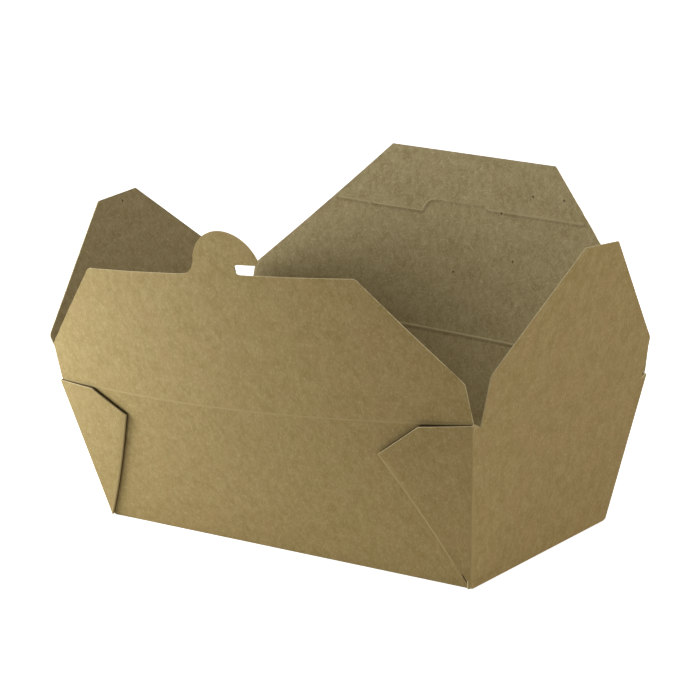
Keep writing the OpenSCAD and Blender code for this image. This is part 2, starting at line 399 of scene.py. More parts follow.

# %% [markdown]
# The colour is built up in layers: cloudy pulp, a warmer flush, fine grain, then the
# fibres. A score line is pale where the pulp is crushed, and along the pressed ridges
# and creases that pale line is also a painted highlight, so the distance to the nearest
# fold lightens the colour, and the grain is held back there, because the band over a
# crease stretches when a flap closes. Painted shade then darkens a skin that lies deep
# in a gap, the round fold beside a web's gap, and a thin line under each crease and
# pressed ridge. The same noise then feeds the bump, so relief and colour agree.
# %% Kraft board
# Each is the low and the high end of a smooth step, for noise or millimetres
CLOUDS, PULPS, FLUSHES = (0.35, 0.65), (0.33, 0.67), (0.45, 0.7)
GRAIN_UP, GRAIN_DOWN = (0.5, 0.7), (0.5, 0.3)
CALM_NEAR_FOLD, CRUSHED_AND_HIGHLIT_FOLD = (0.15, 0.85), (0.1, 0.75)
BASE_SHARE, CLOUD_SHARE, PULP_SHARE, FLUSH_SHARE = 0.22, 0.25, 0.52, 0.4
# Painted shade: the dark colour that a skin's shade value mixes in, and how much of it
DEEP_SHADE, SHADE_SHARE = tint("#3a2709"), 0.9
RELIEF = {"grain": 0.6, "fibre": 0.3, "pulp": 0.6, "cloud": 0.8}
RELIEF_DEPTH, SHEEN_LEVEL, GRAIN_ROUGH = 0.0001, 0.25, 0.1


def attribute(paint, name, output):
    """A value that the sheet builder left on the points."""
    return paint.node("ShaderNodeAttribute", {"attribute_name": name}, {}, output)


def kraft(name, colours, shares, skin, bump, spots=()):
    """Unbleached board; skin says which of the two painted shades it darkens by."""
    deep, plain, light, blush = (tint(code) for code in colours)
    fibre_share, grain_share, crushed_and_highlit_share, rough = shares
    paint = Paint(name)
    place = attribute(paint, "sheet", "Vector")
    score = attribute(paint, "score", "Fac")
    shade = attribute(paint, "shade", "Vector")
    painted_shade = paint.node("ShaderNodeSeparateXYZ", {}, {0: shade}, output=skin)
    cloud = paint.noise(place, (1, 1, 1), 0.13, detail=2)
    pulp = paint.noise(place, (1, 0.65, 1), 0.36, detail=3, rough=0.6)
    flush = paint.noise(place, (1, 1, 1), 0.09, detail=1)
    grain = paint.noise(place, (1.0, 0.6, 1), 1.1, detail=4, rough=0.75)
    calm = paint.span(score, *CALM_NEAR_FOLD)
    pulp = 0.5 + (pulp - 0.5) * calm
    grain = 0.5 + (grain - 0.5) * calm
    pale = sum(fibres(paint, place, *run, PALE_CUT) for run in PALE_RUNS)
    dark = sum(fibres(paint, place, *run, DARK_CUT) for run in DARK_RUNS)
    body = (BASE_SHARE + paint.span(cloud, *CLOUDS) * CLOUD_SHARE
            + paint.span(pulp, *PULPS) * PULP_SHARE)
    # Pale where the pulp is crushed at a fold, and a painted highlight along the
    # pressed ridges and creases
    crushed_and_highlit = 1 - paint.span(score, *CRUSHED_AND_HIGHLIT_FOLD)
    colour = paint.mix(body, deep, plain)
    for share, laid_on in (
            (paint.span(flush, *FLUSHES) * FLUSH_SHARE, blush),
            (paint.span(grain, *GRAIN_UP) * grain_share, light),
            (paint.span(grain, *GRAIN_DOWN) * grain_share, deep),
            (pale * calm * fibre_share, light),
            (dark * calm * fibre_share, deep),
            (crushed_and_highlit * crushed_and_highlit_share, light)):
        colour = paint.mix(share, colour, laid_on)
    if spots:
        colour = paint.mix(knots(paint, place, spots) * KNOT_SHARE, colour, KNOT_INK)
    # Painted shade in the gaps of the webs, under creases and under pressed ridges
    colour = paint.mix(painted_shade * SHADE_SHARE, colour, DEEP_SHADE)
    height = (grain * RELIEF["grain"] + (pale - dark) * calm * RELIEF["fibre"]
              + pulp * RELIEF["pulp"] + cloud * RELIEF["cloud"])
    normal = paint.node("ShaderNodeBump", {},
                        {"Strength": bump, "Distance": RELIEF_DEPTH,
                         "Height": height})
    paint.connect(paint.shader, {
        "Base Color": colour, "Roughness": rough + grain * GRAIN_ROUGH,
        "Normal": normal, "Specular IOR Level": SHEEN_LEVEL})
    return paint.material


print("relief in metres:", RELIEF_DEPTH)

# %% [markdown]
# One recipe gives three finishes: the yellow outside, the greyer inside with
# its longer fibres and its knots, and the cut edge, which is pale because
# bare fibre ends catch the light.
# %% The three finishes
BACK_PANEL, LEFT_PANEL = 13, 15
KNOTS = [(x, y, PANEL_STEP * panel) for x, y, panel in (
    (2.6, 28.0, BACK_PANEL), (-29.1, 37.2, BACK_PANEL), (-19.2, 58.2, BACK_PANEL),
    (-35.2, 67.9, BACK_PANEL), (-52.5, 68.2, BACK_PANEL), (-2.2, 66.6, LEFT_PANEL))]
OUTSIDE = kraft("kraft_outside", ("#977f48", "#ae9763", "#c7b585", "#ac8e5f"),
                (0.14, 0.5, 0.3, 0.72), 0, 0.3)
INSIDE = kraft("kraft_inside", ("#85734b", "#9f8f67", "#bdaf87", "#9d8b66"),
               (0.36, 0.4, 0.5, 0.8), 1, 0.45, KNOTS)
EDGE = kraft("kraft_cut_edge", ("#c0ad80", "#d6c69a", "#ebdfbc", "#cfbd94"),
             (0.2, 0.5, 0.2, 0.85), 0, 0.3)
FINISHES = [OUTSIDE, INSIDE, EDGE]
print("finishes:", [finish.name for finish in FINISHES])

# %% [markdown]
# ## The tray
#
# Round the tray the board runs as one endless band: along a long wall, back on itself
# at the corner as the web's inner layer, back again at the diagonal fold as the outer
# layer, and round the corner fold as the end wall. One function gives the band's points
# at a height, for a corner, with the painted shade of each of them in and beside the
# gaps between the layers. The webs spring a little open, as pressed board does, and the
# front right one has a small pocket at its foot.
# %% Sizes of the corner webs
# Parts of the wall's height: where a web starts, its pocket ends, and its tips
WEB_LOW, POCKET_F = 0.012, 0.144
TIP_F, HIGH_TIP_F = 0.81, 0.84
# How far the tips are from the wall's middle, and the length of a web's top
TIP_X, FAR_TIP_X, WEB_TOP = 66.6, 69.3, 22.0
FOLD_R, BEND, CREASE_HALF = LAYER / 2, 0.5, 0.7
# How much of the outer layer the pocket takes, and how far it lifts it
POCKET_CUT, POCKET_LIFT = 6.0, 1.4
# The least width of the outer layer, and what is added beside a cut, so that
# it doesn't count as a fold
LEAST_OUTER, PAST_CUT = 0.2, 20
# The wall stops at this part of its half width, where the web turns back
CORNER_T = 0.9945
# Corner folds are softer than score lines, and less pale
CORNER_SCORE = 0.45
# How the spring grows from the corner, its share at the foot, and the outer
# layer's spring for one of the inner layer
SPRING_CURVE, SPRING_FOOT, OUTER_SPRING = 1.2, 0.45, 1.15
END_TOP = 1 - END_DROP / WALL_H
print("web layers stand off in mm:", LAYER, 2 * LAYER)


# %% A corner web
class Web:
    """A doubled corner web outside a long wall, at the end with the sign."""

    def __init__(self, side, sign, tip_x=TIP_X, tip_f=TIP_F, lift=1.0, pocket=0.0):
        self.side, self.sign, self.lift, self.pocket = side, sign, lift, pocket
        self.tip_x, self.tip_f = tip_x, tip_f
        self.away = unit(np.array([-tip_f * side.slant, tip_x - BASE_X]))

    def edge(self, f):
        """Where it ends: at its diagonal fold, or at the cut above its tip."""
        low = BASE_X + (self.tip_x - BASE_X) * f / self.tip_f
        high = self.tip_x + ((self.side.half - WEB_TOP - self.tip_x)
                             * (f - self.tip_f) / (1 - self.tip_f))
        return np.where(f <= self.tip_f, low, high) + FOLD_R

    def spring(self, x, f):
        """How far it stands off its wall at x."""
        corner = self.side.half_at(f)
        gap = (corner - x) / (corner - self.edge(f))
        grown = np.clip(gap, 0, 1) ** SPRING_CURVE
        return self.lift * grown * (SPRING_FOOT + (1 - SPRING_FOOT) * f)

    def band(self, f, layer_cols=12, fold_cols=7):
        """The wall's end, the inner layer, the fold and the outer layer.

        Each part has its points as x, f and w, its score, and its shades."""
        f = f[:, None]
        side, corner, edge = self.side, self.side.half_at(f), self.edge(f)
        start, stop = corner * CORNER_T, corner - BEND
        phi = np.linspace(0, math.pi, fold_cols)[None, :]
        s = np.linspace(0, 1, layer_cols)[None, :]
        low = np.clip(1 - f / self.pocket, 0, 1) if self.pocket else f * 0
        rim = np.minimum(edge + low * POCKET_CUT, stop - LEAST_OUTER)
        x_in, x_out = start + (edge - start) * s, rim + (stop - rim) * s
        w_in = LAYER + self.spring(x_in, f)
        w_out = (2 * LAYER + self.spring(x_out, f) * OUTER_SPRING
                 + POCKET_LIFT * np.sin(math.pi * low) * (1 - s))
        near, far = w_in[:, -1:], w_out[:, :1]
        step = FOLD_R * np.sin(phi)
        fold_gap = (np.abs(x_out - edge) * abs(self.away[0])
                    + PAST_CUT * (f > self.tip_f))
        out_score = np.minimum(np.abs(corner - x_out) + CORNER_SCORE, fold_gap)
        turned = phi / math.pi
        # Each part ends with its painted shade on the outside and the inside skin: the
        # inner layer is painted dark all through, and the fold's round side is painted
        # dark next to the wall.
        return [
            (start + step, f + 0 * phi, FOLD_R * (1 - np.cos(phi)), CORNER_SCORE,
             turned, turned ** 3),
            (x_in, f + 0 * s, w_in, FAR, 1.0, 1.0),
            (edge + step * self.away[0], f + step * self.away[1] / side.slant,
             (near + far) / 2 - (far - near) / 2 * np.cos(phi), 0.0,
             np.clip(1.2 - 1.6 * turned, 0, 1), 1.0),
            (x_out, f + 0 * s, w_out, out_score, 0.0, np.clip(2 - 2 * s, 0, 1))]


# %% The four webs
WEBS = {(side, sign): Web(side, sign) for side in (FRONT, BACK) for sign in (-1, 1)}
WEBS[FRONT, 1] = Web(FRONT, 1, lift=1.6, pocket=POCKET_F)
WEBS[FRONT, -1] = Web(FRONT, -1, FAR_TIP_X, HIGH_TIP_F, 0.6)
print("webs:", len(WEBS), "tip in mm from the middle:", WEBS[FRONT, 1].tip_x)

# %% [markdown]
# The rows follow the walls' height, closer together at the base fold, at the webs' tips
# and at the crease. The columns of a long wall are even in the middle, and then follow
# the slanting edge of each web, so that the painted shade where the wall goes behind
# the web stays a sharp dark line. The base is a plain plate, and an arc of a few
# columns bends it up into each wall.
# %% Rows and columns
def rows_between(*stops):
    """Heights through the given stops, as pairs of a stop and a row count."""
    out = [stops[0]]
    for low, high, count in zip(stops[0::2], stops[2::2], stops[1::2]):
        out += list(np.linspace(low, high, count + 1)[1:])
    return np.array(out)


FOOT = 0.36
FOOT_F = FOOT / FRONT.slant
TOP_F = 1 - CREASE_HALF / FRONT.slant
HEIGHTS = rows_between(FOOT_F, 1, WEB_LOW, 5, POCKET_F, 11, TIP_F, 1, HIGH_TIP_F, 5,
                       1 - 2 / FRONT.slant, 3, TOP_F)
WEB_ROWS = HEIGHTS >= WEB_LOW - 1e-9
# How far inside the crease's ends the end flaps' roots are
END_ROOT, RIGHT_BACK_ROOT = 4.5, 2.8
ROOT_T, BACK_ROOT_T = 1 - END_ROOT / RIGHT.half, 1 - RIGHT_BACK_ROOT / RIGHT.half
END_T = np.concatenate([[-0.994, -0.965], np.linspace(-ROOT_T, ROOT_T, 35),
                        [0.965, 0.994]])
# Columns beside a web's edge in millimetres, and the painted shade of the wall at each
ALONG_EDGE, EDGE_PAINTED_SHADE = np.array([-1.8, -0.7, 0.3]), [0, 0.3, 1]
LEAST_LAYER, PAST_EDGE, MIDDLE_GAP, MIDDLE_COLS, BEHIND_COLS = 2.0, 1.3, 3.2, 53, 6


def long_columns(side, f):
    """Columns of a long wall: even ones, then some that follow each web's edge."""
    corner, halves = side.half_at(f) * CORNER_T, []
    behind = np.linspace(0, 1, BEHIND_COLS)[None, :]
    for sign in (-1, 1):
        edge = np.minimum(WEBS[side, sign].edge(f), corner - LEAST_LAYER)
        rest = edge + PAST_EDGE + (corner - edge - PAST_EDGE) * behind
        halves.append((edge, np.concatenate([edge + ALONG_EDGE, rest], axis=1)))
    (left, left_cols), (right, right_cols) = halves
    middle = ((MIDDLE_GAP - left) + (left + right - 2 * MIDDLE_GAP)
              * np.linspace(0, 1, MIDDLE_COLS)[None, :])
    return np.concatenate([-left_cols[:, ::-1], middle, right_cols], axis=1)


print("rows of a wall:", len(HEIGHTS), "columns of an end wall:", len(END_T) + 2)

# %% Shades, bends and scores
FOOT_FADE = 0.05
CREASE_SHADE, CREASE_SHADE_DROP, CREASE_SHADE_SOFT = 0.45, 1.1, 0.6


def painted_web_shade(side, x, f):
    """Painted shade on a long wall's outside, from 0 to 1: a thin dark line beside each
    web's edge, and full behind the web.
    """
    over = np.where(x < 0, -x - WEBS[side, -1].edge(f), x - WEBS[side, 1].edge(f))
    return np.interp(over, ALONG_EDGE, EDGE_PAINTED_SHADE) * np.clip(f / FOOT_FADE, 0, 1)


def under_crease(side, f):
    """The soft line of shade under the ridge of a crease, on the inside."""
    down = (1 - f) * side.slant
    return CREASE_SHADE * np.exp(-((down - CREASE_SHADE_DROP) / CREASE_SHADE_SOFT) ** 2)


def bend(a, corner, b, count):
    """Points on a soft bend from a to b that rounds off the corner."""
    t = np.linspace(0, 1, count).reshape([count] + [1] * a.ndim)
    return (1 - t) ** 2 * a + 2 * t * (1 - t) * corner + t ** 2 * b


def along_score(side, x, f):
    """Distance to the folds of a wall's own edges, in millimetres."""
    up = np.minimum(f * side.slant + CORNER_SCORE, (1 - f) * side.slant)
    return np.minimum(up, np.abs(side.half_at(f) - np.abs(x)) + CORNER_SCORE)


print("shade under a crease, 0 to 3 mm down:",
      under_crease(FRONT, 1 - np.arange(4) / FRONT.slant).round(2).tolist())

# %% Long walls and their webs
FOOT_ROWS, TURN_COLS = 5, 6
FIRST_WEB_PANEL, FIRST_END_PANEL, FIRST_TURN_PANEL, BASE_PANEL = 2, 6, 8, 10
# The layers of a web and the corner folds lie this far off on the flat sheet
WEB_PLACE, TURN_PLACE, TURN_WIDTH = 300, 500, 0.8
FOLD_PART = 2
tray = Sheet()


def foot_bend(side, t, panel):
    """The fold from the base up into a wall, at parts t of its half width."""
    foot = side.wall(t * side.base_half, 0.0)
    rim = side.wall(t * side.half_at(FOOT_F), FOOT_F)
    tray.grid(bend(foot - side.out * FOOT, foot, rim, FOOT_ROWS),
              t * side.base_half, -side.slant, panel, CORNER_SCORE)


for number, side in enumerate((FRONT, BACK)):
    f = HEIGHTS[:, None]
    x = long_columns(side, f)
    tray.grid(side.wall(x, f), x, (f - 1) * side.slant, number,
              along_score(side, x, f),
              outside=painted_web_shade(side, x, f), inside=under_crease(side, f))
    foot_t = x[0] / side.half_at(FOOT_F)
    foot_bend(side, foot_t, number)
    web_f = HEIGHTS[WEB_ROWS]
    for sign in (-1, 1):
        web = WEBS[side, sign]
        for part, (px, pf, pw, *values) in enumerate(web.band(web_f)):
            keep = None
            if part == FOLD_PART:
                keep = [[web.pocket - 1e-6 < low < web.tip_f - 1e-6]
                        * (px.shape[1] - 1) for low in pf[:-1, 0]]
            points = side.wall(sign * px, pf, pw)
            values = [np.broadcast_to(v, px.shape) for v in values]
            if sign < 0:
                points, px, pf, *values = (
                    a[:, ::-1] for a in (points, px, pf, *values))
            score, outside, inside = values
            tray.grid(points, sign * px + WEB_PLACE * (part > 0),
                      (pf - 1) * side.slant, number + FIRST_WEB_PANEL + part,
                      score, keep, outside, inside)
print("tray has", tray.count, "points with its long walls and webs")

# %% [markdown]
# An end wall is one layer. Its top edge runs straight under the flap and rises
# to the tray's corners outside the flap's roots. At each corner a soft turn
# joins it to the outer layer of the long wall's web.
# %% End walls, corner turns and base
HORN_T = 0.99
for number, side in enumerate((RIGHT, LEFT)):
    f = HEIGHTS[:, None]
    reach = 2 * LAYER - BEND
    t_cols = np.concatenate([[-1.0], END_T, [1.0]])[None, :]
    roots = np.where(t_cols > 0, BACK_ROOT_T if side is RIGHT else ROOT_T, ROOT_T)
    horn = np.clip((np.abs(t_cols) - roots) / (HORN_T - roots), 0, 1)
    f = f * (1 + (1 / END_TOP - 1) * horn)
    x = t_cols * side.half_at(f)
    x[:, 0] -= reach
    x[:, -1] += reach
    tray.grid(side.wall(x, f), x, (f - 1) * side.slant, number + FIRST_END_PANEL,
              along_score(side, x, f), inside=under_crease(side, f * END_TOP))
    foot_bend(side, END_T, number + FIRST_END_PANEL)
    for sign in (-1, 1):
        long = FRONT if side.out[0] * sign < 0 else BACK
        end = -sign
        fw = HEIGHTS[WEB_ROWS][:, None]
        stop = long.half_at(fw) - BEND
        sprung = WEBS[long, end].spring(stop, fw) * OUTER_SPRING
        a = long.wall(end * stop, fw, 2 * LAYER + sprung)
        corner = long.wall(end * long.half_at(fw), fw, 2 * LAYER)
        b = side.wall(sign * (side.half_at(fw / END_TOP) + reach), fw / END_TOP)
        arc = np.swapaxes(bend(a, corner, b, TURN_COLS)[:, :, 0, :], 0, 1)
        if sign > 0:
            arc = arc[:, ::-1]
        tray.grid(arc, TURN_PLACE + np.linspace(0, TURN_WIDTH, TURN_COLS)[None, :],
                  (fw - 1) * long.slant, number + FIRST_TURN_PANEL, CORNER_SCORE)

inner_x, inner_y = BASE_X - FOOT, BASE_Y - FOOT
plate_x = np.concatenate([[-inner_x], foot_t * BASE_X, [inner_x]])
plate_y = np.concatenate([[-inner_y], END_T * BASE_Y, [inner_y]])
px, py = np.meshgrid(plate_x, plate_y[::-1])
plate = np.stack([px, py, np.full_like(px, BOARD / 2)], axis=-1)
tray.grid(plate, px, py, BASE_PANEL, FAR)
tray_piece = tray.build("tray_sheet", FINISHES)
thicken(tray_piece)
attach(tray_piece, "tray")
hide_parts("tray")

# %% [markdown]
# ## The lid flaps
#
# A flap is cut from the sheet along an outline, so its middle surface is a flat outline
# filled with triangles and then laid on the side's arc. Blender's constrained
# triangulation fills any outline, with a slit in it too. Below it comes a narrow band
# over the crease, from the wall to the flap.
# %% Outlines
def rounded(points, radii, steps=6):
    """An outline whose corners are rounded, each to its own radius."""
    out, n = [], len(points)
    pts = [np.array(p, float) for p in points]
    for i, (p, r) in enumerate(zip(pts, radii)):
        if r <= 0:
            out.append(p)
            continue
        a, b = unit(pts[i - 1] - p), unit(pts[(i + 1) % n] - p)
        half = math.acos(np.clip(a @ b, -1, 1)) / 2
        run = r / math.tan(half)
        centre = p + unit(a + b) * r / math.sin(half)
        for k in range(steps + 1):
            q = p + a * run + (b - a) * run * k / steps
            out.append(centre + unit(q - centre) * r)
    return out


def arc_points(centre, radius, start, end, count):
    """Points on an arc between two angles in degrees."""
    angles = np.radians(np.linspace(start, end, count))
    return [np.array(centre) + radius * np.array([math.cos(a), math.sin(a)])
            for a in angles]


def flap_outline(half, shoulder, shoulder_h, top_half, height, corner, top_corner,
                 fall=0.0, far=None):
    """An outline; far gives another root, shoulder and height at the right end."""
    root, out, out_h = far or (half, shoulder, shoulder_h)
    pts = [(-half, CREASE_HALF), (root, CREASE_HALF), (out, out_h),
           (top_half, height), (-top_half, height - fall), (-shoulder, shoulder_h)]
    return rounded(pts, [0, 0, corner, top_corner, top_corner, corner])


print("a flap starts", CREASE_HALF, "mm above its crease")


# %% Points and loops
def spaced(loop, step):
    """The loop with points added so that none is far from the next."""
    out = []
    for a, b in zip(loop, loop[1:] + loop[:1]):
        count = max(1, int(np.linalg.norm(b - a) / step))
        out += [a + (b - a) * k / count for k in range(count)]
    return out


def within(points, loop):
    """Which points lie inside a loop."""
    hit = np.zeros(len(points), bool)
    x, y = points[:, 0], points[:, 1]
    for (x1, y1), (x2, y2) in zip(loop, loop[1:] + loop[:1]):
        with np.errstate(divide="ignore", invalid="ignore"):
            cross = (x2 - x1) * (y - y1) / (y2 - y1) + x1
        hit ^= ((y1 > y) != (y2 > y)) & (x < cross)
    return hit


def gap_to(points, path):
    """Distance from each point to a path of straight runs."""
    best = np.full(len(points), 1e9)
    for a, b in zip(path[:-1], path[1:]):
        d = b - a
        t = np.clip((points - a) @ d / max(d @ d, 1e-12), 0, 1)
        best = np.minimum(best, np.linalg.norm(points - a - t[:, None] * d, axis=1))
    return best


# %% [markdown]
# A flap bends only along its arc, so triangles of 3 mm are enough for its
# shape. A pressed line or the edge of a slit is finer than that, so smaller
# triangles follow each such line, and the sheet can be raised to a ridge there.
# %% Triangles inside an outline
STEP, RIM_STEP, SLIT_STEP = 3.0, 2.5, 1.2
# How far the wide seeds stay off a rim and off a fine patch
OFF_RIM, OFF_PATCH = 0.9, 0.4
# Fine seeds: their step, how far they reach from a line, and off a rim
FINE, NEAR, FINE_OFF_RIM = 0.55, 2.4, 0.3
LEAST_AREA = 1e-7


def seeds_between(low, high, step, stagger):
    """A field of points between two corners, each second row moved along."""
    gx, gy = np.meshgrid(np.arange(low[0], high[0], step),
                         np.arange(low[1], high[1], step))
    rows = np.arange(gx.size) // gx.shape[1]
    return np.stack([gx.ravel() + (rows % 2) * stagger, gy.ravel()], axis=1)


def fill(outline, hole, lines):
    """Triangles inside an outline, with small ones along the given lines."""
    loops = [spaced(outline, RIM_STEP)] + ([spaced(hole, SLIT_STEP)] if hole else [])
    verts, edges = [], []
    for loop in loops:
        base = len(verts)
        verts += loop
        edges += [(base + i, base + (i + 1) % len(loop)) for i in range(len(loop))]
    seeds = seeds_between(np.min(outline, axis=0), np.max(outline, axis=0),
                          STEP, STEP / 2)
    clear = within(seeds, loops[0])
    for loop in loops:
        clear &= gap_to(seeds, loop + loop[:1]) > OFF_RIM
    for path in lines:
        clear &= gap_to(seeds, path) > NEAR + OFF_PATCH
    verts += list(seeds[clear])
    for number, path in enumerate(lines):
        near = seeds_between(np.min(path, axis=0) - NEAR,
                             np.max(path, axis=0) + NEAR, FINE, 0)
        clear = (gap_to(near, path) < NEAR) & within(near, loops[0])
        for loop in loops:
            clear &= gap_to(near, loop + loop[:1]) > FINE_OFF_RIM
        for other in lines[:number]:
            clear &= gap_to(near, other) > NEAR
        verts += list(near[clear])
    made = delaunay_2d_cdt([Vector(v) for v in verts], edges, [], 0, 1e-5)
    points = np.array([list(v) for v in made[0]])
    tris = [list(face) for face in made[2]]
    middles = np.array([points[t].mean(axis=0) for t in tris])
    inside = within(middles, loops[0])
    if hole:
        inside &= ~within(middles, loops[1])
    faces = []
    for t, ok in zip(tris, inside):
        a, b, c = points[t]
        area = (b[0] - a[0]) * (c[1] - a[1]) - (b[1] - a[1]) * (c[0] - a[0])
        if ok and abs(area) > LEAST_AREA:
            faces.append(t if area > 0 else t[::-1])
    return points, faces


print("a flap's triangles are", STEP, "mm wide, and", FINE, "mm along a line")

# %% [markdown]
# One function then builds any of the four flaps. It lays the filled outline on the
# side's arc, raises the pressed lines, adds the band over the crease with its bead on
# the inside, and hides the imported flap.
# %% A lid flap
RIDGE, RIDGE_HALF = 0.22, 0.8
# How far off a line that isn't pale counts, and where the painted shadow lies below it
FAINT_OFF, RIDGE_SHADE_DROP, RIDGE_SHADE_SOFT = 0.75, 1.0, 0.55
BAND_ROWS = 11


def height_over(points, path):
    """How far each point stands above a path that runs across the flap."""
    order = np.argsort([p[0] for p in path])
    level = np.interp(points[:, 0], [path[i][0] for i in order],
                      [path[i][1] for i in order])
    return np.sign(points[:, 1] - level) * gap_to(points, path)


def crease_band(side, root, bead):
    """The strip over the crease, from the wall to the flap, and its rows."""
    f = 1 - CREASE_HALF / side.slant
    low = side.wall(root * side.half_at(f) / side.half, f)
    band = bend(low, side.crease(root), side.flap(root, CREASE_HALF), BAND_ROWS)
    rows = np.linspace(-CREASE_HALF, CREASE_HALF, BAND_ROWS)[:, None]
    hump = bead * np.cos(rows / CREASE_HALF * math.pi / 2) ** 2
    return band - hump[:, :, None] * side.normal, rows


def lid_flap(name, body, side, outline, panel, bead, faint, hole=None, lines=()):
    """A flap with the band over its crease; its imported part is hidden.

    Each line is a path, how pale its ridge is, crushed and with a painted highlight,
    and how dark the painted shadow under it is."""
    points, faces = fill(outline, hole, [path for path, pale, dark in lines])
    u, v = points[:, 0], points[:, 1]
    score, shade, push = v + faint, v * 0, v * 0
    # Along each pressed line: a pale ridge, which is crushed pulp and a painted
    # highlight, and a painted shadow under it
    for path, pale, dark in lines:
        over = height_over(points, path)
        score = np.minimum(score, np.abs(over) + (1 - pale) * FAINT_OFF)
        soft = np.exp(-((over + RIDGE_SHADE_DROP) / RIDGE_SHADE_SOFT) ** 2)
        shade = np.maximum(shade, dark * soft)
        ridge = RIDGE * np.clip(1 - np.abs(over) / RIDGE_HALF, 0, 1)
        push = np.minimum(push, -ridge)
    spots = side.flap(u, v) + np.multiply.outer(push, side.normal)
    places = np.stack([u, v, np.full(len(u), PANEL_STEP * panel)], axis=1)
    sheet = Sheet()
    sheet.add(spots, places, score, faces, (0.0, shade))
    root = np.sort(u[np.abs(v - CREASE_HALF) < 1e-4])
    band, rows = crease_band(side, root, bead)
    sheet.grid(band, root[None, :], rows, panel, np.abs(rows) + faint,
               inside=under_crease(side, 1 + np.minimum(rows, 0) / side.slant))
    piece = sheet.build(name, FINISHES)
    thicken(piece)
    start, end = (side.mid + side.rise * way for way in (-CREASE_HALF, CREASE_HALF))
    tuple(start * MM)
    tuple(end * MM)
    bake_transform(piece)
    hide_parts(body)


print("a crease's band is", 2 * CREASE_HALF, "mm wide")

# %% [markdown]
# The front flap ends in a round hook tab with a notch under its hook. The
# outline goes round it point by point: a fillet on the plain side, the arc of
# the tab, and the notch with its round end.
# %% Front flap
# How far inside the crease's ends the long flaps' roots and shoulders are
LONG_ROOT_IN, LONG_SHOULDER_IN, CORNER_R = 0.5, 0.9, 3.0
FRONT_SHOULDER, FRONT_TOP, FRONT_H, FRONT_FALL = 17.0, 71.0, 62.0, 3.9
TAB_X, TAB_R, TAB_RISE, FILLET = 10.5, 17.5, 1.5, 9.0
NOTCH_X, NOTCH_H, HOOK_R, HOOK_IN = 6.0, 4.5, 1.2, 2.2
FRONT_PANEL, FRONT_BEAD = 12, 0.1
plain = flap_outline(FRONT.half - LONG_ROOT_IN, FRONT.half - LONG_SHOULDER_IN,
                     FRONT_SHOULDER, FRONT_TOP, FRONT_H, CORNER_R, CORNER_R,
                     FRONT_FALL)
top_left = next(i for i, p in enumerate(plain) if p[0] < 0 and p[1] > FRONT_H / 2)
tab_centre = (TAB_X, FRONT_H + TAB_RISE)
edge_h = FRONT_H - FRONT_FALL * (TAB_R + FILLET) / (TAB_X + FRONT_TOP)
rise = edge_h + FILLET - tab_centre[1]
fillet_x = TAB_X - math.sqrt((TAB_R + FILLET) ** 2 - rise ** 2)
meet = math.degrees(math.asin(rise / (TAB_R + FILLET)))
hook_turn = math.degrees(math.asin((NOTCH_H - TAB_RISE) / TAB_R)) + 4
notch_middle = (TAB_X + NOTCH_X, FRONT_H + NOTCH_H / 2)
hook_tip = (TAB_X + TAB_R - HOOK_IN, FRONT_H + NOTCH_H + HOOK_R)
hook = (arc_points(notch_middle, NOTCH_H / 2, 270, 90, 12)
        + arc_points(hook_tip, HOOK_R, -90, 20, 6)
        + arc_points(tab_centre, TAB_R, hook_turn, 180 - meet, 48)
        + arc_points((fillet_x, edge_h + FILLET), FILLET, -meet, -90, 14)[1:])
front_outline = plain[:top_left] + hook + plain[top_left:]
lid_flap("front_lid_flap", "front_flap", FRONT, front_outline, FRONT_PANEL,
         FRONT_BEAD, 0.0)

# %% [markdown]
# The back flap is taller, and the hook goes into its stepped slit. The slit is
# a fine cut, and a pressed crease goes on from both of its ends to the edges.
# The flap is drawn as seen from outside, so what is left in the photograph is
# on the right here.
# %% Back flap
SLIT_HALF, BACK_BEAD = 0.003, 0.25
BACK_SHOULDER, BACK_TOP, BACK_H, BACK_TOP_R = 16.5, 45.0, 83.0, 1.0
cut_line = [np.array(p, float) for p in
            [(51, 54), (24, 54), (23.3, 55.4), (22.6, 57), (21.4, 58.6),
             (19.6, 59.7), (17.5, 60.1), (-8, 60)]]
slit = ([p + np.array([0, SLIT_HALF]) for p in cut_line]
        + [p - np.array([0, SLIT_HALF]) for p in cut_line[::-1]])
right_line = [np.array([52.0, 54.0]), np.array([70.5, 54.5])]
left_line = [np.array([-12.0, 58.9]), np.array([-64.5, 59.0])]
# Each with how pale its ridge is, crushed and with a painted highlight, and how dark
# the painted shadow under it is
BACK_LINES = [(right_line, 0.75, 0.25), (cut_line[:7], 0.8, 0.35),
              (cut_line[6:], 0.3, 0.18), (left_line, 0.8, 0.3)]
back_outline = flap_outline(BACK.half - LONG_ROOT_IN, BACK.half - LONG_SHOULDER_IN,
                            BACK_SHOULDER, BACK_TOP, BACK_H, CORNER_R, BACK_TOP_R)
lid_flap("back_lid_flap", "back_flap", BACK, back_outline, BACK_PANEL, BACK_BEAD,
         0.0, slit, BACK_LINES)

# %% [markdown]
# The end flaps are plain, with a narrow top edge that lets them fold in
# under the long flaps.
# %% End flaps
RIGHT_H, LEFT_H, END_SHOULDER, END_TOP_HALF, END_TOP_R = 69.0, 70.2, 21.5, 13.0, 1.5
END_SHOULDER_IN, END_BEAD, END_FAINT, RIGHT_PANEL = 3.4, 0.08, 0.35, 14


def end_outline(side, height, root_in, shoulder_in, shoulder_h):
    """An end flap whose second end has its own root and shoulder."""
    far = (side.half - root_in, side.half - shoulder_in, shoulder_h)
    return flap_outline(side.half - END_ROOT, side.half - END_SHOULDER_IN,
                        END_SHOULDER, END_TOP_HALF, height, CORNER_R, END_TOP_R,
                        far=far)


lid_flap("right_lid_flap", "right_flap", RIGHT,
         end_outline(RIGHT, RIGHT_H, RIGHT_BACK_ROOT, 4.4, 19.3),
         RIGHT_PANEL, END_BEAD, END_FAINT)
lid_flap("left_lid_flap", "left_flap", LEFT,
         end_outline(LEFT, LEFT_H, END_ROOT, 0.2, END_SHOULDER),
         LEFT_PANEL, END_BEAD, END_FAINT)

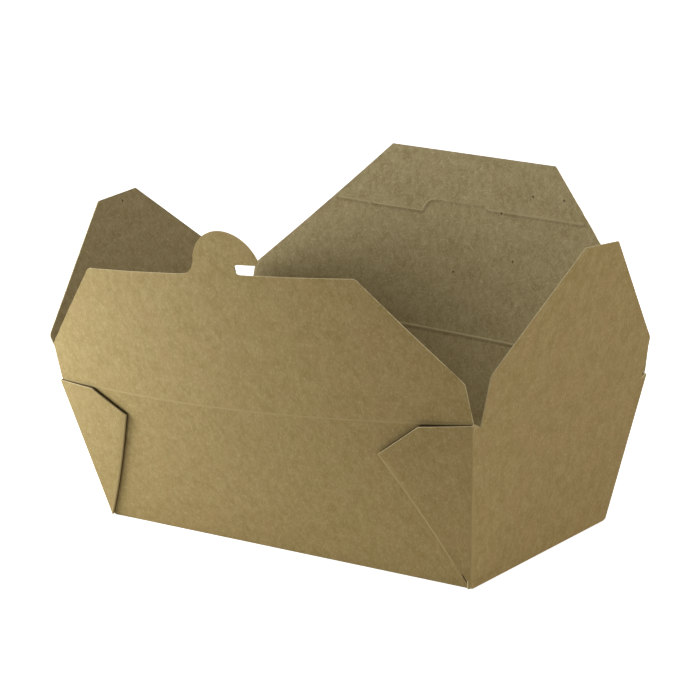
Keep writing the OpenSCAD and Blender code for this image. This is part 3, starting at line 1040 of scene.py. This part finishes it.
# %% [markdown]
# ## The floor
#
# The photograph is a packshot, white all round. To the camera the plain floor
# glows white as well as taking light, and close to the box it glows a little
# less, so that the box's soft shadow shows.
# %% Floor
FLOOR_GREY, GLOW_NEAR = 0.82, 0.8
FADE_START, FADE_STOP, HALF_FLOOR = 0.16, 0.45, 6.0
floor_paint = Paint("white_floor")
camera_ray = floor_paint.node("ShaderNodeLightPath", {}, {}, "Is Camera Ray")
glossy_ray = floor_paint.node("ShaderNodeLightPath", {}, {}, "Is Glossy Ray")
seen = floor_paint.node("ShaderNodeMath", {"operation": "MAXIMUM"},
                        {0: camera_ray, 1: glossy_ray})
spot = floor_paint.node("ShaderNodeNewGeometry", {}, {}, "Position")
away = floor_paint.node("ShaderNodeVectorMath", {"operation": "LENGTH"},
                        {0: spot}, "Value")
fade = floor_paint.mix(floor_paint.span(away, FADE_START, FADE_STOP),
                       (GLOW_NEAR,) * 3 + (1,), (1, 1, 1, 1))
glow = floor_paint.node("ShaderNodeEmission", {}, {"Color": fade})
matte = floor_paint.node("ShaderNodeBsdfDiffuse", {},
                         {"Color": (FLOOR_GREY,) * 3 + (1,)})
both = floor_paint.node("ShaderNodeAddShader", {}, {0: glow, 1: matte})
shown = floor_paint.node("ShaderNodeMixShader", {}, {0: seen, 1: matte, 2: both})
output = floor_paint.tree.nodes["Material Output"]
floor_paint.tree.links.new(shown.socket, output.inputs["Surface"])

floor_mesh = bpy.data.meshes.new("floor")
floor_mesh.from_pydata([(x * HALF_FLOOR, y * HALF_FLOOR, 0)
                        for x, y in ((-1, -1), (1, -1), (1, 1), (-1, 1))],
                       [], [(0, 1, 2, 3)])
floor_mesh.materials.append(floor_paint.material)
floor = bpy.data.objects.new("floor", floor_mesh)
bpy.context.scene.collection.objects.link(floor)
print("floor is", 2 * HALF_FLOOR, "m wide")

# %% [markdown]
# ## Lamps
#
# The light comes from the left and the front, and leaves the right side
# darker. A close lamp at the left front does the shaping: being close, it
# falls off along the front wall as in the photograph. A weak one beside it
# lifts the left end, one high in front reaches the inside of the back flap,
# one fills from the right, and one at the back keeps the rear views readable.
# %% Lamps
LOOK_AT = Vector((0, 0, 0.07))


def lamp(name, turn, lift, distance, size, watts, colour=(1, 1, 1)):
    """A square soft light, turned left of the front and lifted, in degrees."""
    turn, lift = math.radians(turn), math.radians(lift)
    way = Vector((-math.sin(turn) * math.cos(lift), -math.cos(turn) * math.cos(lift),
                  math.sin(lift)))
    data = bpy.data.lights.new(name, "AREA")
    data.shape, data.size, data.energy, data.color = "SQUARE", size, watts, colour
    made = bpy.data.objects.new(name, data)
    made.location = LOOK_AT + way * distance
    made.rotation_euler = way.to_track_quat("Z", "Y").to_euler()
    made.visible_camera = False
    bpy.context.scene.collection.objects.link(made)


lamp("left_front_light", 62, 15, 0.6, 0.3, 3.75, (0.94, 1, 1.04))
lamp("left_light", 85, 13, 0.5, 0.3, 0.7, (0.9, 1, 1))
lamp("front_top_light", -10, 75, 1.2, 0.7, 3.1)
lamp("right_light", -90, 15, 1.2, 0.7, 2.85)
lamp("back_light", -150, 35, 1.2, 0.7, 4.66)
lamps = [thing for thing in bpy.data.objects if thing.type == "LIGHT"]
print("lamps:", [(made.name, made.data.energy) for made in lamps])

# %% [markdown]
# ## The world
#
# The world fills what the lamps leave with a dim warm light, as a pale room
# does. To the camera, and in reflections, it is plain white, so that the
# background is white without more light on the box.
# %% World
ROOM_COLOUR, ROOM_STRENGTH = (1, 0.93, 0.8, 1), 0.115
world = bpy.data.worlds.new("studio")
bpy.context.scene.world = world
world.use_nodes = True
nodes, links = world.node_tree.nodes, world.node_tree.links
dim, bright = nodes["Background"], nodes.new("ShaderNodeBackground")
dim.inputs["Color"].default_value = ROOM_COLOUR
dim.inputs["Strength"].default_value = ROOM_STRENGTH
bright.inputs["Strength"].default_value = 1.0
bright.inputs["Color"].default_value = (1, 1, 1, 1)
ray, pick = nodes.new("ShaderNodeLightPath"), nodes.new("ShaderNodeMixShader")
seen = ray.outputs["Is Camera Ray"]
for kind in ("Is Glossy Ray", "Is Transmission Ray"):
    either = nodes.new("ShaderNodeMath")
    either.operation = "MAXIMUM"
    links.new(seen, either.inputs[0])
    links.new(ray.outputs[kind], either.inputs[1])
    seen = either.outputs[0]
links.new(seen, pick.inputs[0])
links.new(dim.outputs[0], pick.inputs[1])
links.new(bright.outputs[0], pick.inputs[2])
links.new(pick.outputs[0], nodes["World Output"].inputs["Surface"])
bpy.context.scene.view_settings.view_transform = "Standard"
print("room light:", ROOM_STRENGTH)
